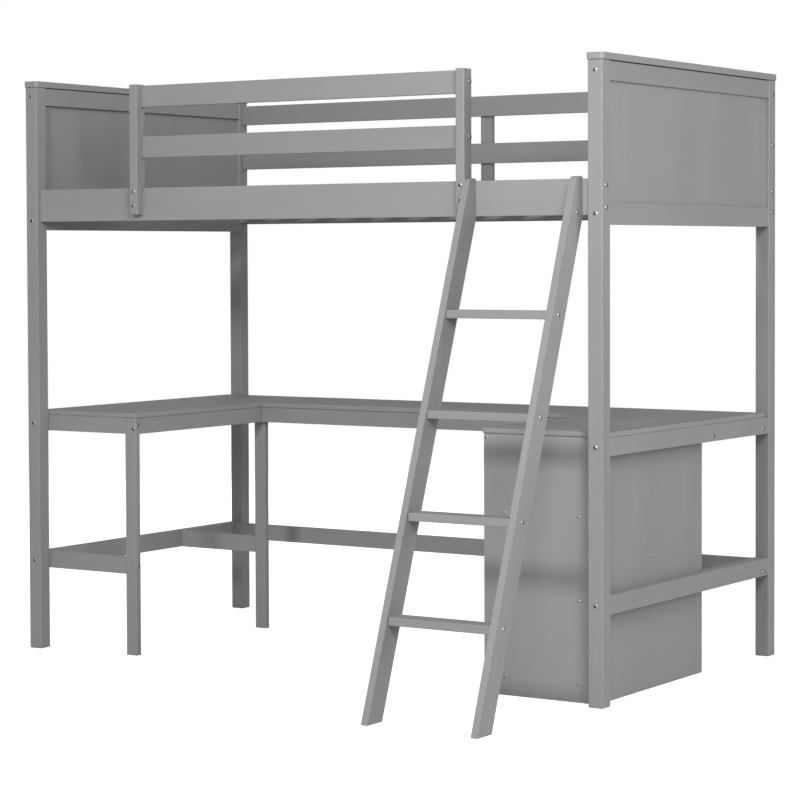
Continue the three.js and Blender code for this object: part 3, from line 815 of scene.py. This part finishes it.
cabinet_low, cabinet_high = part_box("cabinet_panel_front")
screw_columns = (cabinet_low.x + SHELF_SCREW_INSETS[0], cabinet_high.x - SHELF_SCREW_INSETS[1])
top_rail = middle("cabinet_top_rail")
screws = []
for panel, away in (("cabinet_panel_front", FRONT), ("cabinet_panel_rear", BACK)):
    for shelf in SHELVES:
        for x in screw_columns:
            screws.append(spot_on(panel, away, x=x, z=middle(shelf).z))
    screws.append(spot_on(panel, away, x=top_rail.x, z=top_rail.z))
    screws.append(spot_on(panel, away, x=cabinet_high.x - TOP_SCREW_INSET, z=top_rail.z + TOP_SCREW_RISE))
panel_low, panel_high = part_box("cabinet_panel_right")
for y_share in (0.0, 0.5, 1.0):
    y = panel_low.y + SIDE_SCREW_INSET + y_share * (panel_high.y - panel_low.y - 2 * SIDE_SCREW_INSET)
    for z in SIDE_SCREW_HEIGHTS:
        screws.append(spot_on("cabinet_panel_right", RIGHT, y=y, z=z))
odd_screw = screws.pop(0)
add_fasteners("cabinet_screws", SCREW_HEAD, screws, grey_plating)
# black pieces in the screws' cross recesses: painted shade
add_fasteners("cabinet_screw_sockets", SCREW_SOCKET_SHADE, screws + [odd_screw], painted_socket_shade)
add_fasteners("cabinet_screw_yellow", SCREW_HEAD, [odd_screw], yellow_plating)

# %% [markdown]
# ## Slats
#
# The mattress lies on thirteen pine slats. They rest on a ledge inside each side rail, and two webbing
# straps keep them apart, so that the whole set rolls up for delivery. In the solid model they are one
# piece. Here each slat is its own board with its own grain, and each lies a touch out of line.

# %% Build the slats
SLATS = 13
SLAT_WIDTH = 70 * MM
SLAT_THICK = 12 * MM
SLAT_EASING = 1.8 * MM
SLAT_SLIP = 1.2 * MM
LAID_BY_HAND = random.Random(11)
roll_low, roll_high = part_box("slat_roll")
pitch = (roll_high.x - roll_low.x - SLAT_WIDTH) / (SLATS - 1)
slat_top = roll_low.z + SLAT_THICK

for number in range(SLATS):
    x = roll_low.x + number * pitch
    if 0 < number < SLATS - 1:
        x += LAID_BY_HAND.uniform(-SLAT_SLIP, SLAT_SLIP)
    low = (x, roll_low.y, roll_low.z)
    high = (x + SLAT_WIDTH, roll_high.y, slat_top)
    slat = add_board(f"slat_{number + 1}", low, high, SLAT_EASING, pine["along_y"], "frame")
    if number == 0:
        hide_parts("slat_roll")
print("slats:", SLATS, "pitch", round(pitch, 4))

# %% [markdown]
# A strap is a woven ribbon, stapled down at each slat. Between slats nothing holds it, so it dips a
# little under its own weight. The ribbon is swept along a line that follows a cosine between slats. Its
# weave is a material: two waves at right angles are multiplied, and their crossings stand up as threads.

# %% Webbing material and straps
def make_webbing():
    material, tree, shader = new_material("black_webbing")
    where = add_node(tree, "ShaderNodeTexCoord").outputs["Object"]
    warp = add_node(tree, "ShaderNodeTexWave", {"Vector": where, "Scale": 130.0, "Distortion": 0.4},
                    wave_type="BANDS", bands_direction="Y")
    weft = add_node(tree, "ShaderNodeTexWave", {"Vector": where, "Scale": 95.0, "Distortion": 0.4},
                    wave_type="BANDS", bands_direction="X")
    weave = math_node(tree, "MULTIPLY", warp.outputs["Fac"], weft.outputs["Fac"])
    tone = add_node(tree, "ShaderNodeMapRange", {"Value": weave, "To Min": 0.012, "To Max": 0.05})
    tree.links.new(tone.outputs[0], shader.inputs["Base Color"])
    shader.inputs["Roughness"].default_value = 0.75
    shader.inputs["Sheen Weight"].default_value = 0.35
    bump = add_node(tree, "ShaderNodeBump", {"Height": weave, "Strength": 0.7, "Distance": 0.0006})
    tree.links.new(bump.outputs[0], shader.inputs["Normal"])
    return material


webbing = make_webbing()
STRAP_WIDTH = 25 * MM
STRAP_THICK = 1.3 * MM
STRAP_DIP = 3.5 * MM
STRAP_INSET = 120 * MM
STRAP_STEPS = 16
STRAP_CREASE = math.radians(50)
STAPLE_SHIFTS = (-14 * MM, 14 * MM)
STAPLE_HALF_WIRE = 0.6 * MM
STAPLE_HALF_LENGTH = 5 * MM
STAPLE_BITE = 0.3 * MM
STAPLE_RISE = 0.5 * MM
STAPLE_EASING = 0.25 * MM


def strap_mesh(y_middle):
    """A ribbon along all the slats, from the middle of the first to the middle of the last."""
    mesh = bmesh.new()
    half = STRAP_WIDTH / 2
    gap_start = SLAT_WIDTH / 2
    gap = pitch - SLAT_WIDTH
    last = None
    for index in range((SLATS - 1) * STRAP_STEPS + 1):
        share = index / STRAP_STEPS
        x = roll_low.x + SLAT_WIDTH / 2 + share * pitch
        within = (share % 1.0) * pitch
        dip = 0.0
        if gap_start < within < gap_start + gap:
            dip = STRAP_DIP * (1 - math.cos(2 * math.pi * (within - gap_start) / gap)) / 2
        z = slat_top - dip
        ring = [mesh.verts.new(corner) for corner in (
            (x, y_middle - half, z), (x, y_middle + half, z),
            (x, y_middle + half, z + STRAP_THICK), (x, y_middle - half, z + STRAP_THICK))]
        if last:
            for side in range(4):
                after = (side + 1) % 4
                mesh.faces.new((last[side], ring[side], ring[after], last[after]))
        else:
            mesh.faces.new(ring)
        last = ring
    mesh.faces.new(list(reversed(last)))
    bmesh.ops.recalc_face_normals(mesh, faces=mesh.faces)
    return mesh


staples = bmesh.new()
for side, y_middle in (("front", roll_low.y + STRAP_INSET), ("back", roll_high.y - STRAP_INSET)):
    strap = add_piece(f"slat_strap_{side}", strap_mesh(y_middle), webbing, "frame")
    sharpen(strap, STRAP_CREASE)
    for number in range(SLATS):
        x = roll_low.x + SLAT_WIDTH / 2 + number * pitch
        for shift in STAPLE_SHIFTS:
            low = (x + shift - STAPLE_HALF_WIRE, y_middle - STAPLE_HALF_LENGTH,
                   slat_top + STRAP_THICK - STAPLE_BITE)
            high = (x + shift + STAPLE_HALF_WIRE, y_middle + STAPLE_HALF_LENGTH,
                    slat_top + STRAP_THICK + STAPLE_RISE)
            board_mesh(staples, low, high, STAPLE_EASING)
add_piece("slat_staples", staples, grey_plating, "frame")
print("straps: 2, staples:", 2 * SLATS * len(STAPLE_SHIFTS))

# %% [markdown]
# ## Drawer boxes
#
# Behind each painted front is a box of bare pine with a plywood bottom. Its corners are cut as box
# joints: square fingers on one board fill the gaps between the fingers of the next. A side board's
# outline is drawn with its fingers and then given its thickness, and the end boards get the same
# outline with fingers and gaps exchanged. The painted front is screwed on from inside the box.

# %% Box-jointed boards
DRAWERS = (1, 2, 3)
FINGERS = 7
WALL = 12 * MM
FINGER_EASING = 0.4 * MM
BOTTOM_GROOVE = 4 * MM
BOTTOM_SPAN = (7 * MM, 11 * MM)
BOTTOM_EASING = 0.3 * MM
FRONT_SCREW_SHARES = ((0.12, 0.28), (0.12, 0.74), (0.88, 0.28), (0.88, 0.74))


def fingered_outline(length, height, first_out):
    """Points around a board with fingers at both ends, from the lower left corner."""
    step = height / FINGERS
    left, right = [], []
    for index in range(FINGERS):
        out = (index % 2 == 0) == first_out
        inset = 0.0 if out else WALL
        left += [(inset, index * step), (inset, (index + 1) * step)]
        right += [(length - inset, index * step), (length - inset, (index + 1) * step)]
    return right + list(reversed(left))


def fingered_board(name, start, along, length, inward, z_low, height, first_out, material, body):
    """A board on edge that runs along from a start, with its thickness inward."""
    mesh = bmesh.new()
    outline = fingered_outline(length, height, first_out)
    lower = [mesh.verts.new(Vector(start) + Vector(along) * s + UP * (z_low + h)) for s, h in outline]
    upper = [mesh.verts.new(v.co + Vector(inward) * WALL) for v in lower]
    count = len(outline)
    mesh.faces.new(lower)
    mesh.faces.new(list(reversed(upper)))
    for index in range(count):
        after = (index + 1) % count
        mesh.faces.new((lower[index], upper[index], upper[after], lower[after]))
    bmesh.ops.remove_doubles(mesh, verts=mesh.verts, dist=WELD_DISTANCE)
    bmesh.ops.recalc_face_normals(mesh, faces=mesh.faces)
    piece = add_piece(name, mesh, material, body, smooth=False)
    bevel = piece.modifiers.new("eased edges", "BEVEL")
    bevel.width = FINGER_EASING
    bevel.segments = 1
    return piece


def build_drawer_box(number):
    body = f"drawer_{number}"
    low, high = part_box(f"{body}_box")
    length, width, height = high - low
    floor = Vector((low.x, low.y, 0))
    sides = (("side_front", floor, BACK), ("side_back", floor + BACK * width, FRONT))
    for label, start, inward in sides:
        board = fingered_board(f"{body}_{label}", start, RIGHT, length, inward, low.z, height, True,
                               pine["along_x"], body)
        if label == "side_front":
            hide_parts(f"{body}_box")
    ends = (("end_near", floor, RIGHT), ("end_far", floor + RIGHT * length, LEFT))
    for label, start, inward in ends:
        fingered_board(f"{body}_{label}", start, BACK, width, inward, low.z, height, False,
                       pine["along_y"], body)
    edge = WALL - BOTTOM_GROOVE
    inner_low = (low.x + edge, low.y + edge, low.z + BOTTOM_SPAN[0])
    inner_high = (high.x - edge, high.y - edge, low.z + BOTTOM_SPAN[1])
    add_board(f"{body}_bottom", inner_low, inner_high, BOTTOM_EASING, plywood, body)
    inside = [(Vector((low.x + WALL, low.y + y_share * width, low.z + z_share * height)), RIGHT)
              for y_share, z_share in FRONT_SCREW_SHARES]
    add_fasteners(f"{body}_screws", SCREW_HEAD, inside, yellow_plating, body)


for number in DRAWERS:
    build_drawer_box(number)
print("drawer boxes:", len(DRAWERS), "with", FINGERS, "fingers a corner")

# %% [markdown]
# ## Knobs
#
# A small turned knob sits in the middle of each drawer front. The profile goes from the foot flange to a
# narrow waist and out to a domed face. It is turned ring by ring as the bolts are, and a Subdivision
# Surface modifier then rounds it, so that the highlight runs round it without facets.

# %% Turn the knobs
# (radius in mm, height in mm) from the foot to the middle of the face
KNOB_PROFILE = (
    (9.0, 0.0), (9.2, 0.8), (8.8, 1.8), (7.2, 2.6), (5.8, 4.6), (5.2, 7.5), (5.6, 10.2), (7.4, 12.2),
    (10.8, 13.4), (13.6, 14.8), (14.9, 16.8), (14.9, 18.6), (13.9, 20.6), (11.4, 22.4), (8.0, 23.4),
    (4.0, 23.9), (1.0, 24.0),
)
KNOB_SHAPE = (MM, [(radius, height * MM, round_ring) for radius, height in KNOB_PROFILE])
KNOB_SMOOTHING = 2

for number in DRAWERS:
    body = f"drawer_{number}"
    low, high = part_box(f"{body}_knob")
    foot = Vector((high.x, (low.y + high.y) / 2, (low.z + high.z) / 2))
    turned = bmesh.new()
    turned_piece(turned, foot, LEFT, *KNOB_SHAPE)
    knob = add_piece(f"{body}_turned_knob", turned, satin_nickel, body)
    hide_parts(f"{body}_knob")
    rounder = knob.modifiers.new("rounder", "SUBSURF")
    rounder.levels = KNOB_SMOOTHING
    rounder.render_levels = KNOB_SMOOTHING
print("knobs:", len(DRAWERS))

# %% [markdown]
# ## Small pieces that hold things together
#
# A second rail ties the pedestal's panels at the back of the drawer space. Thin nylon strips on the
# bottom and the dividers carry the drawers. Steel plates under the desk join the middle board to its
# wings.

# %% Rear rail, runners and plates
def make_plastic(name, grey, roughness):
    material, tree, shader = new_material(name)
    where = add_node(tree, "ShaderNodeTexCoord").outputs["Object"]
    haze = add_node(tree, "ShaderNodeTexNoise", {"Vector": where, "Scale": 90.0, "Detail": 3.0})
    tone = add_node(tree, "ShaderNodeMapRange",
                    {"Value": haze.outputs["Fac"], "To Min": grey * 0.93, "To Max": grey * 1.05})
    tree.links.new(tone.outputs[0], shader.inputs["Base Color"])
    shader.inputs["Roughness"].default_value = roughness
    return material


nylon = make_plastic("white_nylon", grey=0.72, roughness=0.35)
REAR_RAIL_THICK = 16 * MM
REAR_RAIL_EASING = 1.0 * MM
top_low, top_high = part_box("cabinet_top_rail")
rear_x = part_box("cabinet_panel_right")[0].x
add_board("cabinet_top_rail_rear", (rear_x - REAR_RAIL_THICK, top_low.y, top_low.z),
          (rear_x, top_high.y, top_high.z), REAR_RAIL_EASING, paint["along_y"], "frame")

RUNNER_WIDTH = 12 * MM
RUNNER_THICK = 0.7 * MM
RUNNER_INSET = 14 * MM
RUNNER_SETBACK = 4 * MM
RUNNER_STOP = 20 * MM
RUNNER_EASING = 0.2 * MM
strips = bmesh.new()
for shelf in SHELVES:
    low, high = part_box(shelf)
    for y in (low.y + RUNNER_INSET, high.y - RUNNER_INSET - RUNNER_WIDTH):
        board_mesh(strips, (low.x + RUNNER_SETBACK, y, high.z),
                   (high.x - RUNNER_STOP, y + RUNNER_WIDTH, high.z + RUNNER_THICK), RUNNER_EASING)
add_piece("drawer_runners", strips, nylon, "frame")

PLATE_HALF_LENGTH = 45 * MM
PLATE_HALF_WIDTH = 9 * MM
PLATE_THICK = 2 * MM
PLATE_EASING = 0.6 * MM
PLATE_APART = 70 * MM
PLATE_SCREWS = (-32 * MM, -14 * MM, 14 * MM, 32 * MM)
plates = bmesh.new()
plate_screws = []
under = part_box("desk_board_middle")[0].z
board_y = middle("desk_board_middle").y
for joint_x in (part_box("desk_board_left")[1].x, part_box("desk_board_right")[0].x):
    for y in (board_y - PLATE_APART, board_y + PLATE_APART):
        board_mesh(plates, (joint_x - PLATE_HALF_LENGTH, y - PLATE_HALF_WIDTH, under - PLATE_THICK),
                   (joint_x + PLATE_HALF_LENGTH, y + PLATE_HALF_WIDTH, under), PLATE_EASING)
        for shift in PLATE_SCREWS:
            plate_screws.append((Vector((joint_x + shift, y, under - PLATE_THICK)), DOWN))
add_piece("desk_plates", plates, grey_plating, "frame")
add_fasteners("desk_plate_screws", SCREW_HEAD, plate_screws, grey_plating)

# %% [markdown]
# ## Floor
#
# The bed stands on a wide pale floor. It has a hint of unevenness in its sheen. The lamps don't reach its
# far edge, so the floor glows a little for the camera only, by the Is Camera Ray output of a Light Path
# node. Its far edge then melts into the white of the world, and no glow falls on the boards.

# %% Lay the floor
FLOOR_HALF = 60.0
FLOOR_GREY = 0.62
FLOOR_GLOW = FAR_WHITE - FLOOR_GREY * WORLD_FILL


def make_floor():
    material, tree, shader = new_material("pale_floor")
    where = add_node(tree, "ShaderNodeTexCoord").outputs["Object"]
    patch = add_node(tree, "ShaderNodeTexNoise", {"Vector": where, "Scale": 1.4, "Detail": 3.0})
    rough = add_node(tree, "ShaderNodeMapRange",
                     {"Value": patch.outputs["Fac"], "To Min": 0.75, "To Max": 0.9})
    tree.links.new(rough.outputs[0], shader.inputs["Roughness"])
    shader.inputs["Base Color"].default_value = (FLOOR_GREY, FLOOR_GREY, FLOOR_GREY, 1)
    shader.inputs["Specular IOR Level"].default_value = 0.2
    shader.inputs["Emission Color"].default_value = WHITE
    ray = add_node(tree, "ShaderNodeLightPath").outputs["Is Camera Ray"]
    tree.links.new(math_node(tree, "MULTIPLY", ray, FLOOR_GLOW), shader.inputs["Emission Strength"])
    return material


floor_mesh = bmesh.new()
bmesh.ops.create_grid(floor_mesh, x_segments=1, y_segments=1, size=FLOOR_HALF)
floor_data = bpy.data.meshes.new("floor")
floor_mesh.to_mesh(floor_data)
floor_mesh.free()
floor_data.materials.append(make_floor())
floor = bpy.data.objects.new("floor", floor_data)
bpy.context.scene.collection.objects.link(floor)
print("floor:", 2 * FLOOR_HALF, "m square")
